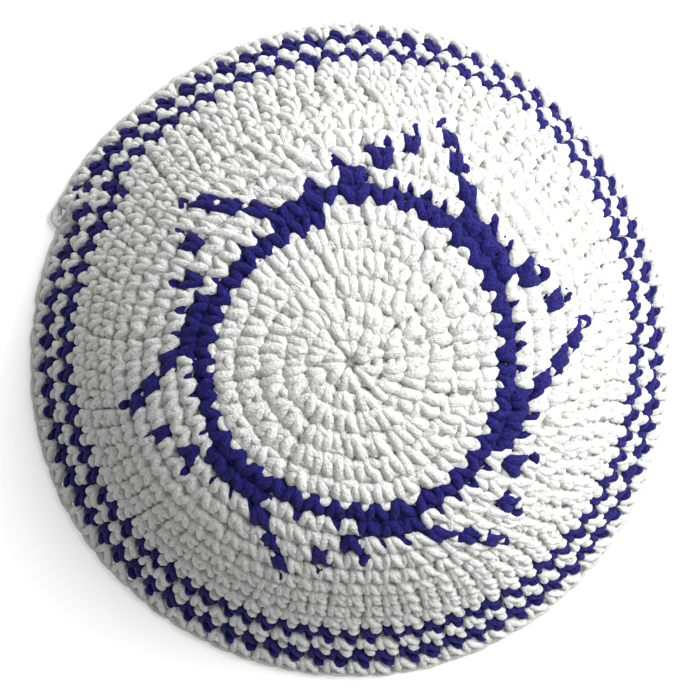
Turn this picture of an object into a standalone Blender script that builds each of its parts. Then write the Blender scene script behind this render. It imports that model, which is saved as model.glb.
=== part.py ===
"""Crocheted skullcap, lying on its rim with the dome up.

The cap is worked in rounds from a small ring of yarn at the top. Each colour zone of rounds is a
solid of its own, a shell that follows one dome. Metres, +Z up, +Y towards the top of the view from
above. The origin is at the middle of the cap's outline, on the surface that it rests on.
"""
import math
from typing import NamedTuple

import bmesh
import bpy

# Sizes of the whole cap
RIM_RADIUS = 0.0860           # from the dome's axis to the outer side of the rim, on average
HEIGHT = 0.0530               # from the surface under the rim to the top of the crown
WALL = 0.0026                 # thickness of the crocheted fabric

# Sizes of its details
CENTRE_HOLE_RADIUS = 0.0009   # the small hole left by the starting ring
RIB_DEPTH = 0.0008            # how far the joins between rounds lie below their crests
RIM_LIP = 0.0022              # upright height of the chain edge under the last round
SPIRAL_STEP = 0.0029          # how far the last round's end stands out past its start
STEP_ANGLE = 154.0            # degrees round from +X at which the last round ends
STEP_RAMP = 5.0               # degrees over which that end tapers away
BAND_GAP = 0.0003             # clearance between neighbouring bands, along the fabric

ROUNDS = 19                   # rounds of crochet from the starting ring to the chain edge
STEP_DETAIL = (-1.0, -0.5, 0.0)   # where the step needs points of its own, as shares of its ramp


class Section(NamedTuple):
    """Where the dome is after a number of rounds, as shares of RIM_RADIUS and of HEIGHT."""
    rounds: int
    radius: float
    height: float


PROFILE = (
    Section(0, 0.000, 1.000),
    Section(1, 0.077, 0.993),
    Section(2, 0.144, 0.981),
    Section(3, 0.211, 0.965),
    Section(4, 0.278, 0.944),
    Section(5, 0.346, 0.919),
    Section(6, 0.403, 0.891),
    Section(7, 0.455, 0.858),
    Section(8, 0.506, 0.815),
    Section(9, 0.560, 0.759),
    Section(10, 0.615, 0.692),
    Section(11, 0.665, 0.619),
    Section(12, 0.712, 0.542),
    Section(13, 0.757, 0.460),
    Section(14, 0.803, 0.372),
    Section(15, 0.848, 0.283),
    Section(16, 0.885, 0.210),
    Section(17, 0.920, 0.140),
    Section(18, 0.958, 0.070),
    Section(19, 1.000, 0.000),
)


class Spread(NamedTuple):
    """How wide the soft cap lies towards an angle, as shares of its round form."""
    angle: float
    side: float       # where the border starts
    rim: float        # at the chain edge


OUTLINE = (
    Spread(0, 0.989, 0.972),
    Spread(30, 1.014, 0.973),
    Spread(60, 1.044, 0.985),
    Spread(90, 1.015, 0.991),
    Spread(120, 0.999, 0.988),
    Spread(150, 0.993, 1.001),
    Spread(180, 0.999, 1.003),
    Spread(210, 0.998, 1.019),
    Spread(240, 0.992, 1.025),
    Spread(270, 0.990, 1.026),
    Spread(300, 1.006, 1.009),
    Spread(330, 1.003, 0.995),
)

SPREAD_STARTS = 8             # rounds from which the outline's waviness begins
SPREAD_SIDE = 15              # rounds at which it has the side's shares


class Band(NamedTuple):
    """A zone of rounds: its first and last boundary, its facets round the cap and its yarn."""
    name: str
    first: int
    last: int
    segments: int
    yarn: str


CROWN = Band("crown", 0, 6, 36, "white_yarn")
MIDDLE_BANDS = (
    Band("blue_ring", 6, 7, 48, "blue_yarn"),
    Band("star_band", 7, 11, 48, "white_yarn"),
    Band("side_band", 11, 15, 48, "white_yarn"),
    Band("border_inner", 15, 16, 48, "blue_yarn"),
    Band("border_middle", 16, 17, 48, "white_yarn"),
    Band("border_outer", 17, 18, 48, "blue_yarn"),
)
EDGING = Band("edging", 18, 19, 48, "white_yarn")


class Yarn(NamedTuple):
    """The look of a yarn."""
    name: str
    colour: tuple
    roughness: float


YARNS = (
    Yarn("white_yarn", (0.80, 0.80, 0.77, 1.0), 0.85),
    Yarn("blue_yarn", (0.035, 0.02, 0.24, 1.0), 0.80),
)


def clear_scene():
    """Remove every object, so that the script starts from nothing."""
    for thing in list(bpy.data.objects):
        bpy.data.objects.remove(thing, do_unlink=True)


def make_yarn(yarn):
    """A plain principled material for one yarn."""
    material = bpy.data.materials.new(yarn.name)
    material.use_nodes = True
    shader = material.node_tree.nodes["Principled BSDF"]
    shader.inputs["Base Color"].default_value = yarn.colour
    shader.inputs["Roughness"].default_value = yarn.roughness
    shader.inputs["Metallic"].default_value = 0.0
    return material


def blend(before, start, end, after, part):
    """Catmull-Rom curve from start to end, with the values before and after them."""
    bend = 2 * before - 5 * start + 4 * end - after
    twist = 3 * start - before - 3 * end + after
    return start + 0.5 * part * (end - before + part * (bend + part * twist))


def profile_share(rounds, column):
    """A share of the dome's profile after some rounds, read smoothly from PROFILE."""
    spacing = PROFILE[1].rounds - PROFILE[0].rounds
    row = min(int(rounds / spacing), len(PROFILE) - 2)
    values = [getattr(section, column) for section in PROFILE]
    mirrored = -values[1] if column == "radius" else values[1]
    before = values[row - 1] if row else mirrored
    after = values[row + 2] if row + 2 < len(values) else 2 * values[-1] - values[-2]
    return blend(before, values[row], values[row + 1], after, rounds / spacing - row)


def outline_share(angle, column):
    """A share of the outline towards an angle in degrees, read smoothly round OUTLINE."""
    spacing = 360 / len(OUTLINE)
    row, part = divmod(angle % 360 / spacing, 1)
    values = [getattr(OUTLINE[(int(row) + step) % len(OUTLINE)], column) for step in (-1, 0, 1, 2)]
    return blend(*values, part)


def ease(value, start, end):
    """Rise smoothly from 0 at start to 1 at end."""
    part = min(max((value - start) / (end - start), 0), 1)
    return part * part * (3 - 2 * part)


def spiral_offset(angle):
    """How far the last round stands out at an angle, from half a step in to half a step out."""
    turned = (angle - STEP_ANGLE) % 360
    ramp_starts = 360 - STEP_RAMP
    share = turned / ramp_starts if turned < ramp_starts else 1 - ease(turned, ramp_starts, 360)
    return SPIRAL_STEP * (share - 0.5)


def dome_point(rounds, angle):
    """The fabric's outer side as a radius and a height, at a round boundary and an angle."""
    side = ease(rounds, SPREAD_STARTS, SPREAD_SIDE)
    rim = ease(rounds, SPREAD_SIDE, ROUNDS)
    spread = 1 + (side - rim) * (outline_share(angle, "side") - 1)
    spread += rim * (outline_share(angle, "rim") - 1)
    radius = RIM_RADIUS * profile_share(rounds, "radius") * spread + rim * spiral_offset(angle)
    height = RIM_LIP + (HEIGHT - RIM_LIP) * profile_share(rounds, "height")
    return radius, height


def fabric_slope(rounds, angle):
    """The run and the drop of the fabric for one round, over the half rounds beside a place."""
    start, end = max(rounds - 0.5, 0), min(rounds + 0.5, ROUNDS)
    inner, outer = dome_point(start, angle), dome_point(end, angle)
    return (outer[0] - inner[0]) / (end - start), (inner[1] - outer[1]) / (end - start)


def sunk_point(rounds, angle, depth):
    """A point of the fabric's outer side, pressed in by a depth square to it."""
    radius, height = dome_point(rounds, angle)
    run, drop = fabric_slope(rounds, angle)
    length = math.hypot(run, drop)
    return radius - depth * drop / length, height - depth * run / length


def rounds_for(distance, rounds, angle):
    """The part of a round that a distance along the fabric takes up."""
    return distance / math.hypot(*fabric_slope(rounds, angle))


def band_angles(band):
    """Angles of a band's facets, with a few more where the last round's end reaches the band."""
    spacing = 360 / band.segments
    even = [spacing * index for index in range(band.segments)]
    if band.last <= SPREAD_SIDE:
        return even
    extra = [STEP_ANGLE + share * STEP_RAMP for share in STEP_DETAIL]
    return sorted(extra + [a for a in even if min(abs(a - e) for e in extra) > spacing / 6])


def ribbed_rows(band):
    """Boundaries and crests of a band's rounds, each with its depth and its share of the gap."""
    rows = []
    for boundary in range(band.first, band.last + 1):
        gap_side = (boundary == band.first) - (boundary == band.last)
        rows.append((boundary, RIB_DEPTH, gap_side))
        if boundary < band.last:
            rows.append((boundary + 0.5, 0.0, 0))
    return rows


def ring_points(row, angles):
    """One ring of points round the dome for a row of a band."""
    boundary, depth, gap_side = row
    points = []
    for angle in angles:
        shift = gap_side * rounds_for(BAND_GAP / 2, boundary, angle)
        radius, height = sunk_point(min(boundary + shift, ROUNDS), angle, depth)
        turn = math.radians(angle)
        points.append((radius * math.cos(turn), radius * math.sin(turn), height))
    return points


def outline_centre():
    """The middle of the rim's outline, seen from above."""
    rim = ring_points((ROUNDS, 0.0, 0), band_angles(EDGING))
    return [(min(p[axis] for p in rim) + max(p[axis] for p in rim)) / 2 for axis in (0, 1)]


def shell(band, rings, yarns, collection):
    """A shell of the fabric's thickness under a surface lofted through rings of points."""
    middle_x, middle_y = outline_centre()
    form = bmesh.new()
    loops = []
    for ring in rings:
        loops.append([form.verts.new((x - middle_x, y - middle_y, z)) for x, y, z in ring])
    for inner, outer in zip(loops, loops[1:]):
        for index, corner in enumerate(inner):
            after = (index + 1) % len(inner)
            form.faces.new((corner, outer[index], outer[after], inner[after]))
    mesh = bpy.data.meshes.new(band.name)
    form.to_mesh(mesh)
    form.free()
    mesh.shade_smooth()
    mesh.materials.append(yarns[band.yarn])
    thing = bpy.data.objects.new(band.name, mesh)
    collection.objects.link(thing)
    fabric = thing.modifiers.new("Fabric", "SOLIDIFY")
    fabric.thickness = WALL
    fabric.offset = -1
    fabric.use_even_offset = True
    return thing


def build_crown(yarns, collection):
    """The middle disc, from the edge of the starting ring's hole to the blue ring."""
    angles = band_angles(CROWN)
    hole_rounds = rounds_for(CENTRE_HOLE_RADIUS, 0, 0)
    rows = [(hole_rounds, 0.0, 0)] + ribbed_rows(CROWN)[1:]
    return shell(CROWN, [ring_points(row, angles) for row in rows], yarns, collection)


def build_middle_band(band, yarns, collection):
    """A plain band of rounds between two others."""
    angles = band_angles(band)
    return shell(band, [ring_points(row, angles) for row in ribbed_rows(band)], yarns, collection)


def build_edging(yarns, collection):
    """The last round and the upright chain edge under it, flat where the cap rests."""
    angles = band_angles(EDGING)
    rings = [ring_points(row, angles) for row in ribbed_rows(EDGING)[:-1]]
    lip = ring_points((ROUNDS, 0.0, 0), angles)
    rings.append(lip)
    rings.append([(x, y, z - RIM_LIP) for x, y, z in lip])
    return shell(EDGING, rings, yarns, collection)


def build_cap():
    """Build every band of the cap in one collection."""
    clear_scene()
    collection = bpy.data.collections.new("skullcap")
    bpy.context.scene.collection.children.link(collection)
    yarns = {yarn.name: make_yarn(yarn) for yarn in YARNS}
    build_crown(yarns, collection)
    for band in MIDDLE_BANDS:
        build_middle_band(band, yarns, collection)
    build_edging(yarns, collection)


build_cap()
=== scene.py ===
"""The crocheted skullcap, made stitch by stitch from strands of yarn.

The cap is one spiral of single crochet, with its rounds counted from 1 in the middle. A place on
it is given by two numbers: the level, which is how many rounds it lies from the middle, and the
angle in degrees from +X, which keeps growing along the spiral. Sizes are in metres unless a name
says otherwise.
"""

import math
from typing import NamedTuple

import bpy
import numpy as np
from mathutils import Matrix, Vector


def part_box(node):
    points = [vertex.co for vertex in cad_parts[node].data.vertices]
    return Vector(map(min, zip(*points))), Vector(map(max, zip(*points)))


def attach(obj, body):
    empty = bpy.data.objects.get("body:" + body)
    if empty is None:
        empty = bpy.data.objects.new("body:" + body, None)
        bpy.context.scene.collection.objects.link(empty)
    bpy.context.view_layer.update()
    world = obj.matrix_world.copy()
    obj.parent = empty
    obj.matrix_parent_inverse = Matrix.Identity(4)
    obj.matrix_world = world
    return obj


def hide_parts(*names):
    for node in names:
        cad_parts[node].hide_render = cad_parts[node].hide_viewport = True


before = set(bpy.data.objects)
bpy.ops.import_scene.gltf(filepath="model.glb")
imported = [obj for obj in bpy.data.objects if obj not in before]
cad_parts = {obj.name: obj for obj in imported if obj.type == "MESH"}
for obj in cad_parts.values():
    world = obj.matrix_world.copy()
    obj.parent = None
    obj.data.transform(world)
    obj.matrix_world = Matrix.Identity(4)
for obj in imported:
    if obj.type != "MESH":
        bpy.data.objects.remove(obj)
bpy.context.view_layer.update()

MM = 0.001

# The dome, which has the same form as the solids in the frame
RIM_RADIUS = 86 * MM          # from the dome's axis to the rim, on average
HEIGHT = 53 * MM              # from the floor to the top of the crown
RIM_LIP = 2.2 * MM            # upright height of the chain edge under the last round
SPIRAL_STEP = 2.9 * MM        # how far the last round's end stands out past its start
STEP_ANGLE = 154.0            # where the last round ends
EDGE_LEVELS = 2               # levels past the last round that the chain edge may reach
EDGE_DROP = 3.6 * MM          # how far the face falls in each of them

# Where the dome is after each round, as shares of RIM_RADIUS and of HEIGHT
RADIUS_SHARES = (
    0.000, 0.077, 0.144, 0.211, 0.278, 0.346, 0.403, 0.455, 0.506, 0.560,
    0.615, 0.665, 0.712, 0.757, 0.803, 0.848, 0.885, 0.920, 0.958, 1.000,
)
HEIGHT_SHARES = (
    1.000, 0.993, 0.981, 0.965, 0.944, 0.919, 0.891, 0.858, 0.815, 0.759,
    0.692, 0.619, 0.542, 0.460, 0.372, 0.283, 0.210, 0.140, 0.070, 0.000,
)

# How wide the soft cap lies every 30 degrees, as shares of its round form, where the border
# starts and at the rim
SIDE_SHARES = (0.989, 1.014, 1.044, 1.015, 0.999, 0.993, 0.999, 0.998, 0.992, 0.990, 1.006, 1.003)
RIM_SHARES = (0.972, 0.973, 0.985, 0.991, 0.988, 1.001, 1.003, 1.019, 1.025, 1.026, 1.009, 0.995)
SPREAD_STARTS = 8             # level from which the outline's waviness begins
SPREAD_SIDE = 15              # level at which it has the side's shares

# How much wider than the solids the yarn lies, as shares of the radius: round the blue ring
# every 15 degrees, and at the rim every 30 degrees
RING_SHARES = (
    0.021, 0.028, 0.041, 0.055, 0.066, 0.066, 0.055, 0.028, -0.007, 0.005, -0.007, -0.003,
    0.010, 0.021, 0.028, 0.010, -0.003, 0.000, 0.010, 0.041, 0.064, 0.059, 0.041, 0.036,
)
BORDER_SHARES = (
    0.007, 0.004, 0.008, -0.004, -0.018, -0.019, -0.010, -0.004, -0.010, -0.010, 0.005, 0.004,
)
RING_RISES = (0.5, 5.5)       # levels between which the ring's shares come in
RING_FADES = (8, 15)          # levels between which they go out again

# The spiral
LEVEL_SHIFT = 0.85            # a stitch made at an angle starts this many rounds lower than its turns
START_LIFT = 0.52             # how much higher the first rounds start, as they grow out of a ring
LIFT_FROM = 1.126             # turns along the spiral at which they have this lift in full
LIFT_FADE = 1.15              # how fast it fades from there, per turn
RING_LEVEL = 0.30             # level of the starting ring's hole
MIDDLE_LEVEL = 0.05           # lowest level that the first round's yarn reaches
NORMAL_REACH = 0.2            # levels to each side over which the face's slope is read
OUTLINE_STEP = 0.5            # degrees between points when the outline's middle is looked for

# Groups of rounds
CROWN_ROUNDS = range(1, 7)
RING_ROUND = 7
STAR_ROUNDS = range(7, 12)    # the blue ring and the star, where the stitches show as Vs
SIDE_ROUNDS = range(12, 19)   # the side band and the border
LAST_ROUND = 19               # the edging
OUTER_SIDE_ROUNDS = (14, 15)  # a piece of their own, only to keep the side band's triangles few
PLAIN_BLUE_ROUNDS = (7, 16, 18)
ARM_ROUNDS = (9, 10, 11)      # where the star's long arms run


class Round(NamedTuple):
    """A round of the spiral."""
    stitches: int             # in a full turn
    seam: float               # angle of its first stitch
    band: str                 # the solid that it stands for
    slant: float              # how far a stitch slants along the round, in stitches


ROUNDS = (
    Round(6, 19.8, "crown", 0.18),
    Round(12, 45.3, "crown", 0.18),
    Round(18, 62.3, "crown", 0.18),
    Round(24, 75.0, "crown", 0.18),
    Round(30, 85.2, "crown", 0.18),
    Round(36, 93.7, "crown", 0.18),
    Round(42, 101.0, "blue_ring", 0.10),
    Round(49, 107.3, "star_band", 0.30),
    Round(55, 112.9, "star_band", 0.14),
    Round(67, 115.7, "star_band", 0.14),
    Round(79, 121.9, "star_band", 0.16),
    Round(84, 125.5, "side_band", 0.36),
    Round(84, 129.1, "side_band", 0.36),
    Round(84, 132.7, "side_band", 0.36),
    Round(84, 140.5, "side_band", 0.36),
    Round(84, 144.1, "border_inner", 0.40),
    Round(84, 147.7, "border_middle", 0.40),
    Round(84, 151.0, "border_outer", 0.40),
    Round(84, 150.0, "edging", 0.40),
)
END_ANGLE = STEP_ANGLE + 360  # where the spiral ends

# The star: one sector of each round, w for white and b for blue, and the index of the stitch at
# which the first sector starts
STAR_CHART = {
    8: ("wwwwwbbb", 2),
    9: ("bwwwwbwww", 1),
    10: ("bwwbwwwwwww", 2),
    11: ("bwwwwwwwwwwww", 2),
}
STAR_POINTS = 6
SEAM_WHITES = {8: (48, 49)}   # stitches beside the seam that stay white against the chart
ARM_SLANT = 0.70              # how much more an arm's stitches slant, in stitches
ARM_SPREAD = 3.0              # how many stitches away this has mostly faded
ARM_LIFT = 0.14 * MM          # how far the blue stitches lie proud of the white ones beside them
ARM_FULLNESS = 0.09           # how much thicker their yarn is

# How far the made cap's stitches lie from even spacing: angles along the spiral, and degrees there
DRIFT = (
    (107, 0.0), (152, -0.4), (182, 0.2), (211, -2.0), (241, 0.2), (270, -1.2), (299, -1.6),
    (320, -3.4), (329, -3.0), (358, -4.4), (388, -4.2), (417, -1.2), (430, -3.8), (446, -6.8),
    (467, -1.0),
)
DRIFT_RISES = (5, 7)          # rounds between which the drift comes in
DRIFT_FADES = (12, 14)        # rounds between which it goes out again

# The yarn
YARN_RADIUS = 0.92 * MM       # usual radius, of a strand with a thickness of 1
ROUND_PLUMPNESS = {1: 0.84, 15: 1.06, 16: 0.87, 17: 1.06, 18: 0.88}    # share of it in some rounds
THICKNESS_SPREAD = 0.035      # how unlike in radius the strands are
LUMPS = 0.02                  # unevenness of a strand's radius
FOOT_TAPER = 0.45             # how much thinner a strand is at its start
FOOT_LENGTH = 0.40            # share of the strand over which it grows to its full thickness
TIP_TAPER = 0.22              # how much thinner it is at its end
TIP_STARTS = 0.75             # share of the strand from which it tapers
LOOSE_PITCH = 4.5 * MM        # in the star's rounds, in stitches wider than this the yarn spreads
LOOSE_POWER = 0.8             # how closely its thickness follows their width
FINENESS = 1.5                # how much finer the blue strands are modelled beside white ones
FLOOR_GAP = 0.12 * MM         # least room between the floor and a strand of the usual thickness
SIDEWAYS = (0.3, 0.2, 0.93)   # a direction that no strand starts in
UV_STRIDE = 7.13              # how far each strand's UVs are moved on, so that its fibres differ
UV_WRAP = 97                  # the most that they are moved

# How uneven the stitches are
SEED = 11
WANDER = 0.055                # how far they lie from their places, in stitches
SHIFT_SPREAD = (0.035, 0.035, 0.08)    # how far a whole strand is moved, in the units of its points
BEND_SPREAD = (0.026, 0.026, 0.09)     # how far each of its points is moved besides
CROWN_UNEVENNESS = 1.25       # how much more uneven the crown's stitches are than the rest

LINK_RISE = (0.90, 1.20)      # rounds outward between which a link moves over to its place
TINY = 1e-12                  # the least length that a vector is divided by


class Strand(NamedTuple):
    """A strand of a stitch. Its points are given, each as the stitches along the round,
    the rounds outward, and the millimetres over the face."""
    points: tuple
    steps: int
    sides: int
    thickness: float          # share of YARN_RADIUS
    is_link: bool = False     # whether it lies over the stitch's head, between the next feet


# In the crown a stitch's two legs lie side by side
CROWN_LEFT = Strand(
    ((0.04, -0.10, -2.6), (-0.05, 0.07, -1.15), (-0.13, 0.34, -0.74), (-0.19, 0.62, -0.76),
     (-0.22, 0.86, -1.30), (-0.22, 1.02, -2.6)), 10, 10, 1.60)
CROWN_RIGHT = Strand(
    ((0.12, -0.10, -2.6), (0.16, 0.07, -1.10), (0.22, 0.34, -0.58), (0.28, 0.62, -0.62),
     (0.33, 0.86, -1.20), (0.35, 1.02, -2.6)), 10, 10, 1.66)
CROWN_LINK = Strand(
    ((-0.30, 0.90, -2.4), (-0.22, 1.02, -1.10), (-0.06, 1.14, -0.66), (0.07, 1.18, -0.62),
     (0.20, 1.15, -0.66), (0.36, 1.04, -1.10), (0.44, 0.92, -2.4)), 10, 10, 1.30, is_link=True)
CROWN_BAR = Strand(
    ((-0.44, 0.24, -1.00), (-0.10, 0.34, -1.1), (0.25, 0.26, -1.1), (0.62, 0.34, -1.00)), 6, 6, 1.4)
CROWN_TOP_BAR = Strand(
    ((-0.52, 0.70, -1.05), (-0.15, 0.76, -1.1), (0.25, 0.70, -1.1), (0.60, 0.76, -1.05)), 6, 6, 1.4)

# In the star's rounds they form a V, under a link that is a high arch
STAR_LEFT = Strand(
    ((0.05, -0.14, -2.5), (-0.02, 0.04, -0.80), (-0.13, 0.32, -0.38), (-0.26, 0.58, -0.42),
     (-0.36, 0.82, -0.95), (-0.40, 1.00, -2.4)), 10, 10, 1.22)
STAR_RIGHT = Strand(
    ((0.13, -0.14, -2.5), (0.13, 0.04, -0.72), (0.21, 0.32, -0.32), (0.32, 0.56, -0.36),
     (0.41, 0.80, -0.85), (0.45, 0.99, -2.3)), 10, 10, 1.22)
ARCH_LINK = Strand(
    ((-0.38, 0.98, -2.4), (-0.27, 1.16, -1.10), (-0.06, 1.38, -0.70), (0.06, 1.50, -0.85),
     (0.18, 1.36, -0.70), (0.40, 1.14, -1.10), (0.50, 0.96, -2.4)), 11, 10, 1.18, is_link=True)
ARCH_PEAK = ARCH_LINK.points[3]

# On the side the left leg is upright, and the right leg and the link slant together
SIDE_LEFT = Strand(
    ((0.04, -0.14, -2.5), (-0.01, 0.05, -0.80), (-0.11, 0.32, -0.45), (-0.21, 0.58, -0.45),
     (-0.29, 0.82, -1.00), (-0.33, 1.00, -2.4)), 10, 10, 1.15)
SIDE_RIGHT = Strand(
    ((0.12, -0.14, -2.5), (0.12, 0.05, -0.75), (0.18, 0.32, -0.40), (0.26, 0.56, -0.38),
     (0.33, 0.78, -0.80), (0.37, 0.97, -2.2)), 10, 10, 1.20)
SIDE_LINK = Strand(
    ((-0.17, 0.84, -2.4), (-0.10, 1.00, -1.10), (0.02, 1.16, -0.62), (0.13, 1.22, -0.66),
     (0.21, 1.20, -1.25), (0.26, 1.12, -2.5)), 10, 10, 1.32, is_link=True)

# Behind the legs lie the link's other strand and, inside the cap, the bars
BACK_LINK = Strand(
    ((-0.55, 0.96, -2.6), (-0.20, 1.14, -2.2), (0.20, 1.12, -2.2), (0.55, 0.98, -2.6)), 6, 6, 1.25)
BAR = Strand(
    ((-0.44, 0.30, -1.35), (-0.10, 0.42, -1.5), (0.25, 0.30, -1.5), (0.62, 0.40, -1.35)), 6, 6, 1.4)
TOP_BAR = Strand(
    ((-0.52, 0.80, -1.45), (-0.15, 0.86, -1.5), (0.25, 0.78, -1.5), (0.60, 0.86, -1.45)), 6, 6, 1.3)

# The chain edge: the last round's free links, front strand and back strand
EDGE_FRONT = Strand(
    ((-0.80, 0.88, -1.7), (-0.50, 1.00, -0.95), (-0.10, 1.05, -0.70), (0.30, 1.04, -0.75),
     (0.58, 0.98, -1.10), (0.74, 0.88, -1.9)), 11, 8, 0.88)
EDGE_BACK = Strand(
    ((-0.80, 1.14, -2.1), (-0.45, 1.24, -1.60), (0.00, 1.27, -1.45), (0.42, 1.25, -1.6),
     (0.74, 1.14, -2.1)), 10, 8, 0.88)

CROWN_STITCH = (CROWN_LEFT, CROWN_RIGHT, CROWN_LINK, BACK_LINK, CROWN_BAR, CROWN_TOP_BAR)
STAR_STITCH = (STAR_LEFT, STAR_RIGHT, ARCH_LINK, BACK_LINK, BAR, TOP_BAR)
SIDE_STITCH = (SIDE_LEFT, SIDE_RIGHT, SIDE_LINK, BACK_LINK, BAR)
EDGE_STITCH = (SIDE_LEFT, SIDE_RIGHT, EDGE_FRONT, EDGE_BACK, BAR)

# The loop that the first round is worked into
START_LOOP = Strand(
    ((-0.62, 0.02, -3.3), (-0.20, -0.02, -3.4), (0.20, -0.02, -3.4), (0.62, 0.02, -3.3)), 6, 6, 1.5)
# The white yarn that is carried along behind the star's blue stitches and shows between their legs
CARRIED = Strand(
    ((-0.14, 0.93, -2.2), (-0.07, 0.98, -0.60), (0.03, 1.01, -0.16), (0.12, 0.99, -0.60),
     (0.18, 0.95, -2.2)), 7, 8, 0.88)
# The crown's last white loop, which lies over the seam where the blue ring begins
SEAM_LOOP = Strand(
    ((-0.16, -0.30, -2.4), (-0.22, -0.08, -0.70), (-0.30, 0.30, -0.05), (-0.36, 0.70, 0.00),
     (-0.42, 1.05, -0.30), (-0.46, 1.30, -2.0)), 14, 12, 1.10)
# The end of the spiral, drawn down beside the first stitch of the last round
CLOSING_LOOP = Strand(
    ((-0.30, 1.02, -1.0), (0.25, 1.08, -0.75), (0.75, 1.00, -0.80), (1.15, 0.72, -1.05),
     (1.35, 0.40, -1.50), (1.45, 0.10, -2.4)), 12, 8, 1.15)


def blend(before, start, end, after, part):
    """Catmull-Rom curve from start to end, with the values before and after them."""
    bend = 2 * before - 5 * start + 4 * end - after
    twist = 3 * start - before - 3 * end + after
    return start + 0.5 * part * (end - before + part * (bend + part * twist))


def smooth_rows(values, places):
    """A smooth curve through evenly spaced values, read at an array of places."""
    values = np.asarray(values, float)
    first = 2 * values[0] - values[1]
    last = 2 * values[-1] - values[-2]
    padded = np.concatenate([[first], values, [last]])
    row = np.clip(np.floor(places).astype(int), 0, len(values) - 2)
    return blend(*(padded[row + step] for step in range(4)), places - row)


def smooth_round(values, angles):
    """The same round a circle, read at an array of angles in degrees."""
    values = np.asarray(values, float)
    places = (angles % 360) / (360 / len(values))
    row = np.floor(places).astype(int)
    return blend(*(values[(row + step) % len(values)] for step in (-1, 0, 1, 2)), places - row)


def ease(values, start, end):
    """Rise smoothly from 0 at start to 1 at end."""
    part = np.clip((values - start) / (end - start), 0, 1)
    return part * part * (3 - 2 * part)


def unit(vectors):
    """Vectors of length one."""
    return vectors / np.maximum(np.linalg.norm(vectors, axis=-1, keepdims=True), TINY)


def past_step(angles):
    """Turns past the last round's end, less half a turn: from -0.5 after it to 0.5 before it."""
    return ((angles - STEP_ANGLE) % 360) / 360 - 0.5


def radius_spread(levels, angles):
    """How wide the cap lies, as a share of its round form."""
    side = ease(levels, SPREAD_STARTS, SPREAD_SIDE)
    rim = ease(levels, SPREAD_SIDE, LAST_ROUND)
    ring = ease(levels, *RING_RISES) * (1 - ease(levels, *RING_FADES))
    spread = 1 + (side - rim) * (smooth_round(SIDE_SHARES, angles) - 1)
    spread = spread + rim * (smooth_round(RIM_SHARES, angles) - 1)
    spread = spread + ring * smooth_round(RING_SHARES, angles)
    return spread + rim * smooth_round(BORDER_SHARES, angles)


def face_height(levels, angles):
    """How high the fabric's outer side lies, with the rim level although the spiral runs on."""
    levels = levels - ease(levels, SPREAD_SIDE, LAST_ROUND) * past_step(angles)
    share = smooth_rows(HEIGHT_SHARES, np.clip(levels, 0, LAST_ROUND))
    past_rim = np.clip(levels - LAST_ROUND, 0, EDGE_LEVELS)
    return RIM_LIP + (HEIGHT - RIM_LIP) * share - past_rim * EDGE_DROP


def dome_point(levels, angles):
    """Points of the fabric's outer side, as an array of x, y and z."""
    share = smooth_rows(RADIUS_SHARES, np.clip(levels, 0, LAST_ROUND))
    past_rim = np.clip(levels - LAST_ROUND, 0, EDGE_LEVELS)
    radius = RIM_RADIUS * share * radius_spread(levels, angles) + past_rim * SPIRAL_STEP
    turn = np.radians(angles)
    return np.stack([radius * np.cos(turn), radius * np.sin(turn), face_height(levels, angles)], -1)


def face_normal(levels, angles):
    """The direction out of the fabric's outer side."""
    levels = np.maximum(levels, RING_LEVEL)
    outward = dome_point(levels + NORMAL_REACH, angles) - dome_point(levels - NORMAL_REACH, angles)
    turn = np.radians(angles)
    along = np.stack([-np.sin(turn), np.cos(turn), np.zeros_like(turn)], -1)
    return unit(np.cross(outward, along))


def start_level(number, angles):
    """The level at which stitches of a round start, at angles along the spiral."""
    if number == 1:
        return np.full_like(angles, RING_LEVEL)
    turns = number - 1 + angles / 360
    return turns - LEVEL_SHIFT + START_LIFT * np.exp(-(turns - LIFT_FROM) * LIFT_FADE)


def round_height(number, angles):
    """How many levels a round takes at angles along the spiral."""
    if number == LAST_ROUND:
        return np.ones_like(angles)
    return start_level(number + 1, angles) - start_level(number, angles)


class Row(NamedTuple):
    """A laid round, as arrays with a value for each stitch."""
    number: int
    angles: np.ndarray        # where the stitch's foot comes out
    pitch: np.ndarray         # degrees from one stitch to the next
    blue: np.ndarray          # whether it is worked in blue
    slant: np.ndarray         # how far it slants along the round, in stitches
    link_moves: np.ndarray    # degrees by which its link moves


def stitch_angles(number):
    """Angles of a round's stitches along the spiral: even, apart from the made cap's drift."""
    this = ROUNDS[number - 1]
    pitch = 360 / this.stitches
    end = END_ANGLE if number == LAST_ROUND else ROUNDS[number].seam + 360
    count = round((end - this.seam) / pitch)
    if number == 1:
        count += 1    # fills the gap before the second round's first stitch
    angles = this.seam + pitch * np.arange(count)
    share = ease(number, *DRIFT_RISES) * (1 - ease(number, *DRIFT_FADES))
    return angles + share * np.interp(angles, *np.transpose(DRIFT))


def stitch_is_blue(number, index):
    """Whether a stitch is worked in blue."""
    if number in PLAIN_BLUE_ROUNDS:
        return True
    if number not in STAR_CHART or index in SEAM_WHITES.get(number, ()):
        return False
    chart, first = STAR_CHART[number]
    sector, column = divmod(index - first, len(chart))
    return sector < STAR_POINTS and chart[column] == "b"


def stitch_slants(number, count):
    """How far the stitches of a round slant: most in the star's arms."""
    slants = np.full(count, ROUNDS[number - 1].slant)
    if number in ARM_ROUNDS:
        chart, first = STAR_CHART[number]
        column = (np.arange(count) - first) % len(chart)
        away = np.minimum(column, len(chart) - column)
        slants = slants + ARM_SLANT * np.exp(-(away / ARM_SPREAD) ** 2)
    return slants


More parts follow.
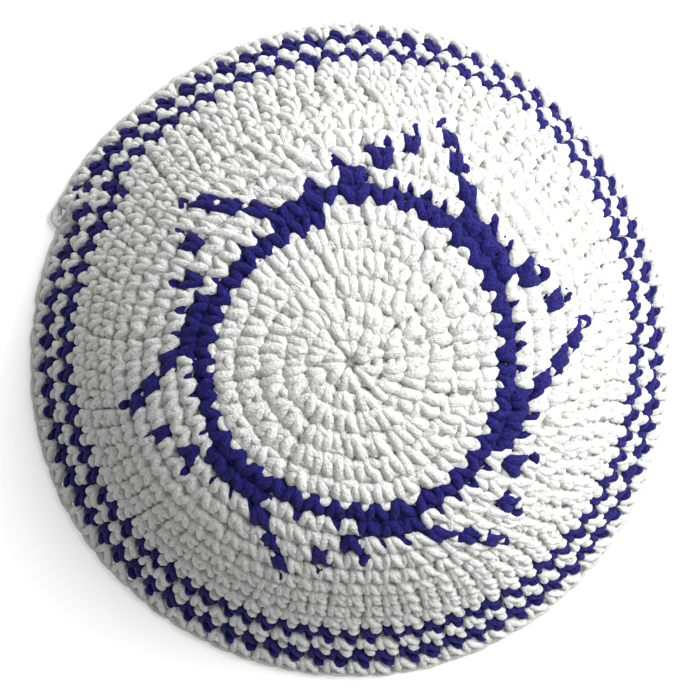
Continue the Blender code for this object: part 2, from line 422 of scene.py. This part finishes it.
def link_moves(rows, row):
    """Degrees by which each link moves so that it lies between two feet of the next round.

    A link between two blue stitches stays where it is, as does every link from the side on.
    """
    if row.number in SIDE_ROUNDS or row.number == LAST_ROUND:
        return np.zeros(len(row.angles))
    along, out, _ = ARCH_PEAK
    lean = np.concatenate([other.slant * other.pitch for other in rows])
    feet = np.concatenate([other.number * 360 + other.angles for other in rows])
    feet = feet + (out - 1) * lean
    blue = np.concatenate([other.blue for other in rows])
    peak = (row.number + 1) * 360 + row.angles + (along + row.slant) * row.pitch
    after = np.searchsorted(feet, peak)
    middle = (feet[after - 1] + feet[after]) / 2
    nearest = np.where(peak < middle, after - 1, after)
    return np.where(row.blue & blue[nearest], 0, middle - peak)


def lay_rows():
    """Lay every round, and then move its links to suit the next."""
    rows = []
    noise = np.random.default_rng(SEED)
    for number in range(1, LAST_ROUND + 1):
        angles = stitch_angles(number)
        count = len(angles)
        wander = WANDER * (CROWN_UNEVENNESS if number in CROWN_ROUNDS else 1)
        angles = angles + noise.normal(0, wander, count) * np.gradient(angles)
        blue = np.array([stitch_is_blue(number, index) for index in range(count)])
        slant = stitch_slants(number, count)
        rows.append(Row(number, angles, np.gradient(angles), blue, slant, np.zeros(count)))
    return [row._replace(link_moves=link_moves(rows, row)) for row in rows]


def smooth_path(points, steps):
    """A smooth curve through control points, as evenly stepped samples."""
    places = np.linspace(0, len(points) - 1, steps)
    return np.stack([smooth_rows(points[:, axis], places) for axis in range(3)], -1)


def uneven_paths(strand, count, uneven, noise):
    """A strand's curve in a number of stitches, each a little unlike the others."""
    controls = np.repeat(np.asarray(strand.points, float)[None], count, 0)
    shift = noise.normal(0, 1, (count, 1, 3)) * SHIFT_SPREAD * uneven
    bend = noise.normal(0, 1, controls.shape) * BEND_SPREAD * uneven
    return np.stack([smooth_path(points, strand.steps) for points in controls + shift + bend])


def place_strand(row, strand, pick, noise):
    """Centre points of one strand for the picked stitches of a row: stitches, steps, xyz."""
    uneven = CROWN_UNEVENNESS if row.number in CROWN_ROUNDS else 1
    path = uneven_paths(strand, int(pick.sum()), uneven, noise)
    along, out, lift = path[..., 0], path[..., 1], path[..., 2] * MM
    if row.number in ARM_ROUNDS:
        lift = lift + ARM_LIFT * row.blue[pick][:, None]
    slant = row.slant[pick][:, None]
    pitch = row.pitch[pick][:, None]
    angles = row.angles[pick][:, None] + (along + slant * out) * pitch
    if strand.is_link:
        angles = angles - slant * np.maximum(out - 1, 0) * pitch
        angles = angles + row.link_moves[pick][:, None] * ease(out, *LINK_RISE)
    levels = start_level(row.number, angles) + round_height(row.number, angles) * out
    if row.number == 1:
        levels = np.maximum(levels, MIDDLE_LEVEL)
    points = dome_point(levels, angles) + face_normal(levels, angles) * lift[..., None]
    points[..., 2] = np.maximum(points[..., 2], YARN_RADIUS * strand.thickness + FLOOR_GAP)
    return points


def cross_sections(paths):
    """Two directions across each path at each of its steps, carried along without a twist."""
    tangent = unit(np.gradient(paths, axis=1))
    side = np.empty_like(paths)
    side[:, 0] = unit(np.cross(tangent[:, 0], SIDEWAYS))
    for step in range(1, paths.shape[1]):
        kept = side[:, step - 1]
        forward = tangent[:, step]
        side[:, step] = unit(kept - (kept * forward).sum(-1, keepdims=True) * forward)
    return side, np.cross(tangent, side)


def tube_points(paths, radii, sides, noise):
    """Vertices of round strands along many paths at once, thinner at both ends."""
    count, steps = paths.shape[:2]
    side, other = cross_sections(paths)
    corner = np.arange(sides) * 2 * math.pi / sides
    ring = noise.uniform(0, 2 * math.pi, (count, 1, 1)) + corner
    along = np.linspace(0, 1, steps)
    taper = 1 - FOOT_TAPER * (1 - ease(along, 0, FOOT_LENGTH))
    taper = taper - TIP_TAPER * ease(along, TIP_STARTS, 1)
    lumps = noise.normal(1, LUMPS, (count, steps, sides))
    reach = radii[:, None, None] * taper[None, :, None] * lumps
    across = np.cos(ring)[..., None] * side[:, :, None] + np.sin(ring)[..., None] * other[:, :, None]
    return paths[:, :, None] + reach[..., None] * across


def tube_faces(count, steps, sides):
    """Corner indices of the tubes' faces of four and of their end caps."""
    base = np.arange(count)[:, None, None] * steps * sides
    step = np.arange(steps - 1)[None, :, None] * sides
    corner = np.arange(sides)[None, None, :]
    after = (corner + 1) % sides
    first = base + step
    quads = np.stack([first + corner, first + after, first + sides + after,
                      first + sides + corner], -1).reshape(-1, 4)
    starts = base[:, 0] + np.arange(sides)[None, ::-1]
    ends = base[:, 0] + (steps - 1) * sides + np.arange(sides)[None]
    return quads, np.concatenate([starts, ends])


def tube_uvs(paths, radii, sides):
    """UVs of the faces of four: length along the strand and way round it, in millimetres."""
    count = len(paths)
    lengths = np.linalg.norm(np.diff(paths, axis=1), axis=-1)
    run = np.concatenate([np.zeros((count, 1)), np.cumsum(lengths, 1)], 1)
    low = np.repeat(run[:, :-1, None], sides, 2) / MM
    high = np.repeat(run[:, 1:, None], sides, 2) / MM
    around = radii[:, None, None] * 2 * math.pi / sides / MM
    left = np.arange(sides)[None, None, :] * around * np.ones_like(low)
    right = left + around
    uv = np.stack([np.stack([low, left], -1), np.stack([low, right], -1),
                   np.stack([high, right], -1), np.stack([high, left], -1)], -2)
    offset = (np.arange(count) * UV_STRIDE % UV_WRAP)[:, None, None, None, None]
    return (uv + offset).reshape(-1, 2)


class Skein:
    """Strands gathered for one piece."""

    def __init__(self, name, yarn, node):
        self.name, self.yarn, self.node = name, yarn, node
        self.verts, self.quads, self.caps, self.uvs = [], [], [], []
        self.total = 0

    def add(self, paths, strand, plump, noise):
        """Add strands of one kind; plump is how much thicker they are than usual."""
        count, steps = paths.shape[:2]
        radii = YARN_RADIUS * strand.thickness * noise.normal(1, THICKNESS_SPREAD, count) * plump
        verts = tube_points(paths, radii, strand.sides, noise)
        quads, caps = tube_faces(count, steps, strand.sides)
        self.verts.append(verts.reshape(-1, 3))
        self.quads.append(quads + self.total)
        self.caps.append(caps + self.total)
        self.uvs.append(tube_uvs(paths, radii, strand.sides))
        self.total += count * steps * strand.sides

    def build_mesh(self):
        """The mesh of all strands. The end caps come last and keep UVs of zero."""
        verts = np.concatenate(self.verts)
        faces = self.quads + self.caps
        loops = np.concatenate([part.reshape(-1) for part in faces])
        sizes = np.concatenate([np.full(len(part), part.shape[1]) for part in faces])
        starts = np.concatenate([[0], np.cumsum(sizes)[:-1]])
        mesh = bpy.data.meshes.new(self.name)
        mesh.vertices.add(len(verts))
        mesh.vertices.foreach_set("co", verts.astype(np.float32).reshape(-1))
        mesh.loops.add(len(loops))
        mesh.loops.foreach_set("vertex_index", loops.astype(np.int32))
        mesh.polygons.add(len(sizes))
        mesh.polygons.foreach_set("loop_start", starts.astype(np.int32))
        mesh.update(calc_edges=True)
        made = np.concatenate(self.uvs)
        uvs = np.zeros((len(loops), 2), np.float32)
        uvs[:len(made)] = made
        mesh.uv_layers.new(name="strand").data.foreach_set("uv", uvs.reshape(-1))
        mesh.shade_smooth()
        return mesh

    def build(self, material):
        """Make the piece."""
        mesh = self.build_mesh()
        mesh.materials.append(material)
        thing = bpy.data.objects.new(self.name, mesh)
        bpy.context.scene.collection.objects.link(thing)
        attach(thing, "root")
        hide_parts(self.node)


def cap_shift():
    """How far the solids are moved so that their outline's middle is the origin."""
    low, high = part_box("edging")
    angles = np.arange(0, 360, OUTLINE_STEP)
    radius = RIM_RADIUS * smooth_round(RIM_SHARES, angles) + SPIRAL_STEP * past_step(angles)
    turn = np.radians(angles)
    x, y = radius * np.cos(turn), radius * np.sin(turn)
    middle = np.array([(x.min() + x.max()) / 2, (y.min() + y.max()) / 2, 0])
    return np.array([(low.x + high.x) / 2, (low.y + high.y) / 2, 0]) - middle


def finer(strand):
    """The same strand with more steps and sides."""
    return strand._replace(steps=round(FINENESS * strand.steps),
                           sides=round(FINENESS * strand.sides))


def stitch_strands(number, yarn):
    """The strands of a stitch in a round."""
    if number == 1:
        return CROWN_STITCH + (START_LOOP,)
    if number in CROWN_ROUNDS:
        return CROWN_STITCH
    if number in STAR_ROUNDS:
        return [finer(strand) for strand in STAR_STITCH] if yarn == "blue_yarn" else STAR_STITCH
    if number in SIDE_ROUNDS:
        return SIDE_STITCH
    return EDGE_STITCH


def plumpness(row):
    """How much thicker the yarn is than usual in the stitches of a row."""
    if row.number not in STAR_ROUNDS:
        return np.full(len(row.angles), ROUND_PLUMPNESS.get(row.number, 1.0))
    width = np.radians(row.pitch) * RIM_RADIUS * RADIUS_SHARES[row.number]
    plump = np.maximum(width / LOOSE_PITCH, 1) ** LOOSE_POWER
    if row.number in ARM_ROUNDS:
        plump = plump + ARM_FULLNESS * row.blue
    return plump


def piece_name(row, yarn):
    """The piece that a row's stitches in a yarn belong to."""
    band = ROUNDS[row.number - 1].band
    if row.number in OUTER_SIDE_ROUNDS:
        return "side_band_outer_stitches"
    if (band, yarn) == ("star_band", "blue_yarn"):
        return "star_stitches"
    return band + "_stitches"


def only(row, index):
    """A pick of one stitch of a row, counted from its end if the index is negative."""
    count = len(row.angles)
    return np.arange(count) == index % count


def add_row(skeins, row, shift, noise):
    """Add a row's stitches to their skeins: white, blue, and the white yarn behind the blue."""
    plump = plumpness(row)
    for yarn, pick in (("white_yarn", ~row.blue), ("blue_yarn", row.blue)):
        if not pick.any():
            continue
        name = piece_name(row, yarn)
        skein = skeins.setdefault(name, Skein(name, yarn, ROUNDS[row.number - 1].band))
        for strand in stitch_strands(row.number, yarn):
            paths = place_strand(row, strand, pick, noise) + shift
            skein.add(paths, strand, plump[pick], noise)
    if row.number in ARM_ROUNDS:
        paths = place_strand(row, CARRIED, row.blue, noise) + shift
        skeins["star_band_stitches"].add(paths, CARRIED, 1.0, noise)


def build_cap():
    """Lay and build every piece of the cap."""
    yarns = {name: yarn_material(name, look) for name, look in YARNS.items()}
    noise = np.random.default_rng(SEED)
    skeins = {}
    shift = cap_shift()
    rows = lay_rows()
    for row in rows:
        add_row(skeins, row, shift, noise)
    single_loops = (
        (rows[LAST_ROUND - 1], -1, CLOSING_LOOP, "edging_stitches"),
        (rows[RING_ROUND - 1], 0, SEAM_LOOP, "crown_stitches"),
    )
    for row, index, loop, name in single_loops:
        paths = place_strand(row, loop, only(row, index), noise) + shift
        skeins[name].add(paths, loop, 1.0, noise)
    for skein in skeins.values():
        skein.build(yarns[skein.yarn])


class Look(NamedTuple):
    """What sets the look of one yarn apart from the other's."""
    colour: tuple             # the yarn's colour on top of its fibres; in the blue yarn its lighter fibres are partly a painted sheen highlight
    painted_shade: tuple              # painted shade in the grooves between its fibres
    fibre_depth: float
    sheen: float
    fibre_range: tuple        # the fibres' noise at which shade and colour are reached


# Each yarn is painted from painted shade between its fibres up to its colour on their tops
YARNS = {
    "white_yarn": Look(
        colour=(0.90, 0.90, 0.87, 1), painted_shade=(0.53, 0.53, 0.50, 1),
        fibre_depth=0.60 * MM, sheen=0.25, fibre_range=(0.25, 0.60)),
    "blue_yarn": Look(
        colour=(0.028, 0.022, 0.330, 1), painted_shade=(0.002, 0.001, 0.066, 1),
        fibre_depth=0.80 * MM, sheen=0.04, fibre_range=(0.46, 0.68)),
}
COTTON = {"Roughness": 0.85, "Specular IOR Level": 0.25, "Sheen Roughness": 0.5}
# Fibres follow the strand's UVs, which are in millimetres, drawn out along it and a little askew
FIBRE_PLACE = {"Scale": (0.45, 1.6, 1.0), "Rotation": (0.0, 0.0, 0.3)}
FIBRE_NOISE = {"Scale": 1.9, "Detail": 4.0, "Roughness": 0.62}
# Fuzz is finer than a stitch, and the same all over the cap. Where it rises the yarn is painted
# lighter, partly uneven colour and partly a painted highlight on the fuzz's tops
FUZZ_NOISE = {"Scale": 1300.0, "Detail": 3.0}
FUZZ_RANGE = {"From Min": 0.35, "From Max": 0.75, "To Max": 0.4}
FUZZ_DEPTH = 0.9              # share of the fibres' depth


def add_node(tree, kind, inputs, **settings):
    """A new node with its settings and then its inputs' values."""
    node = tree.nodes.new(kind)
    for name, value in settings.items():
        setattr(node, name, value)
    for name, value in inputs.items():
        node.inputs[name].default_value = value
    return node


def add_yarn_colour(tree, look, fibres, fuzz, shader):
    """Paint the yarn from painted shade between its fibres up to its colour on their tops, by its
    fibres and its fuzz.
    """
    link = tree.links.new
    low, high = look.fibre_range
    spread = add_node(tree, "ShaderNodeMapRange", {"From Min": low, "From Max": high})
    # lighter flecks on the fuzz's tops: partly uneven colour, partly painted highlight
    soft = add_node(tree, "ShaderNodeMapRange", FUZZ_RANGE)
    both = add_node(tree, "ShaderNodeMath", {}, operation="ADD", use_clamp=True)
    # painted shade between the fibres, and the yarn's colour on their tops
    mix = add_node(tree, "ShaderNodeMix", {"A": look.painted_shade, "B": look.colour}, data_type="RGBA")
    link(fibres.outputs["Fac"], spread.inputs["Value"])
    link(fuzz.outputs["Fac"], soft.inputs["Value"])
    link(spread.outputs["Result"], both.inputs[0])
    link(soft.outputs["Result"], both.inputs[1])
    link(both.outputs["Value"], mix.inputs["Factor"])
    link(mix.outputs["Result"], shader.inputs["Base Color"])


def add_yarn_relief(tree, look, fibres, fuzz, shader):
    """Raise the fibres, and the fuzz on top of them."""
    link = tree.links.new
    ridges = add_node(tree, "ShaderNodeBump", {"Strength": 1.0, "Distance": look.fibre_depth})
    grain = add_node(tree, "ShaderNodeBump",
                     {"Strength": 1.0, "Distance": FUZZ_DEPTH * look.fibre_depth})
    link(fibres.outputs["Fac"], ridges.inputs["Height"])
    link(fuzz.outputs["Fac"], grain.inputs["Height"])
    link(ridges.outputs["Normal"], grain.inputs["Normal"])
    link(grain.outputs["Normal"], shader.inputs["Normal"])


def yarn_material(name, look):
    """Matte cotton yarn with fine fibres along each strand, painted shade between them and lighter
    tops, with uneven fuzz flecks that are partly painted highlight.
    """
    material = bpy.data.materials.new(name)
    material.use_nodes = True
    tree = material.node_tree
    link = tree.links.new
    place = add_node(tree, "ShaderNodeTexCoord", {})
    along = add_node(tree, "ShaderNodeMapping", FIBRE_PLACE)
    fibres = add_node(tree, "ShaderNodeTexNoise", FIBRE_NOISE)
    fuzz = add_node(tree, "ShaderNodeTexNoise", FUZZ_NOISE)
    link(place.outputs["UV"], along.inputs["Vector"])
    link(along.outputs["Vector"], fibres.inputs["Vector"])
    link(place.outputs["Object"], fuzz.inputs["Vector"])
    shader = tree.nodes["Principled BSDF"]
    for socket, value in COTTON.items():
        shader.inputs[socket].default_value = value
    shader.inputs["Sheen Weight"].default_value = look.sheen
    add_yarn_colour(tree, look, fibres, fuzz, shader)
    add_yarn_relief(tree, look, fibres, fuzz, shader)
    return material


WHITE = (1, 1, 1, 1)
FLOOR_HALF = 3.0              # from the middle of the floor to its sides
FLOOR_GLOW = 0.27             # light of its own, which keeps it pale at the picture's edges
FLOOR = {"Base Color": (0.93, 0.93, 0.93, 1), "Roughness": 0.9, "Emission Color": WHITE,
         "Emission Strength": FLOOR_GLOW}


def build_floor():
    """A plain pale floor, which isn't part of the object."""
    mesh = bpy.data.meshes.new("floor")
    corners = [(FLOOR_HALF * x, FLOOR_HALF * y, 0) for x, y in ((-1, -1), (1, -1), (1, 1), (-1, 1))]
    mesh.from_pydata(corners, [], [(0, 1, 2, 3)])
    floor = bpy.data.objects.new("floor", mesh)
    bpy.context.scene.collection.objects.link(floor)
    material = bpy.data.materials.new("floor_pale")
    material.use_nodes = True
    shader = material.node_tree.nodes["Principled BSDF"]
    for socket, value in FLOOR.items():
        shader.inputs[socket].default_value = value
    mesh.materials.append(material)


# The window light: where it stands as seen from the cap, in degrees and metres
KEY_AZIMUTH = 35
KEY_ELEVATION = 36
KEY_DISTANCE = 1.1
KEY_SIZE = 0.9
KEY_POWER = 23                # watts


def direction_angles(direction):
    """Rotation that turns an object's -Z towards a direction."""
    flat = math.hypot(direction[0], direction[1])
    return (math.atan2(flat, -direction[2]), 0, math.atan2(direction[1], direction[0]) - math.pi / 2)


def add_key_light():
    """A soft square light that faces the cap."""
    turn, rise = math.radians(KEY_AZIMUTH), math.radians(KEY_ELEVATION)
    place = KEY_DISTANCE * np.array([math.cos(rise) * math.cos(turn),
                                     math.cos(rise) * math.sin(turn), math.sin(rise)])
    data = bpy.data.lights.new("key", "AREA")
    data.shape = "SQUARE"
    data.size = KEY_SIZE
    data.energy = KEY_POWER
    light = bpy.data.objects.new("key", data)
    light.location = place
    light.rotation_euler = direction_angles(-place)
    bpy.context.scene.collection.objects.link(light)


CAMERA_DISTANCE = 0.55        # from the foot of the dome's axis
CAMERA_TILT = 3.3             # degrees that it stands off the axis, towards +Y
LENS = 106.5                  # millimetres, as is the sensor
SENSOR_WIDTH = 36
CLIP_START = 0.05


def add_camera():
    """Look down on the cap as the photograph does."""
    low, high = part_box("crown")
    foot = np.array([(low.x + high.x) / 2, (low.y + high.y) / 2, 0])
    tilt = math.radians(CAMERA_TILT)
    data = bpy.data.cameras.new("camera")
    data.lens = LENS
    data.sensor_width = SENSOR_WIDTH
    data.clip_start = CLIP_START
    camera = bpy.data.objects.new("camera", data)
    camera.location = foot + CAMERA_DISTANCE * np.array([0, math.sin(tilt), math.cos(tilt)])
    camera.rotation_euler = (-tilt, 0, 0)
    bpy.context.scene.collection.objects.link(camera)
    bpy.context.scene.camera = camera


WORLD_STRENGTH = 0.33


def set_world():
    """Even pale light from all round."""
    world = bpy.data.worlds.new("studio")
    world.use_nodes = True
    background = world.node_tree.nodes["Background"]
    background.inputs["Color"].default_value = WHITE
    background.inputs["Strength"].default_value = WORLD_STRENGTH
    bpy.context.scene.world = world


build_cap()
build_floor()
add_camera()
add_key_light()
set_world()
bpy.context.scene.view_settings.view_transform = "Standard"
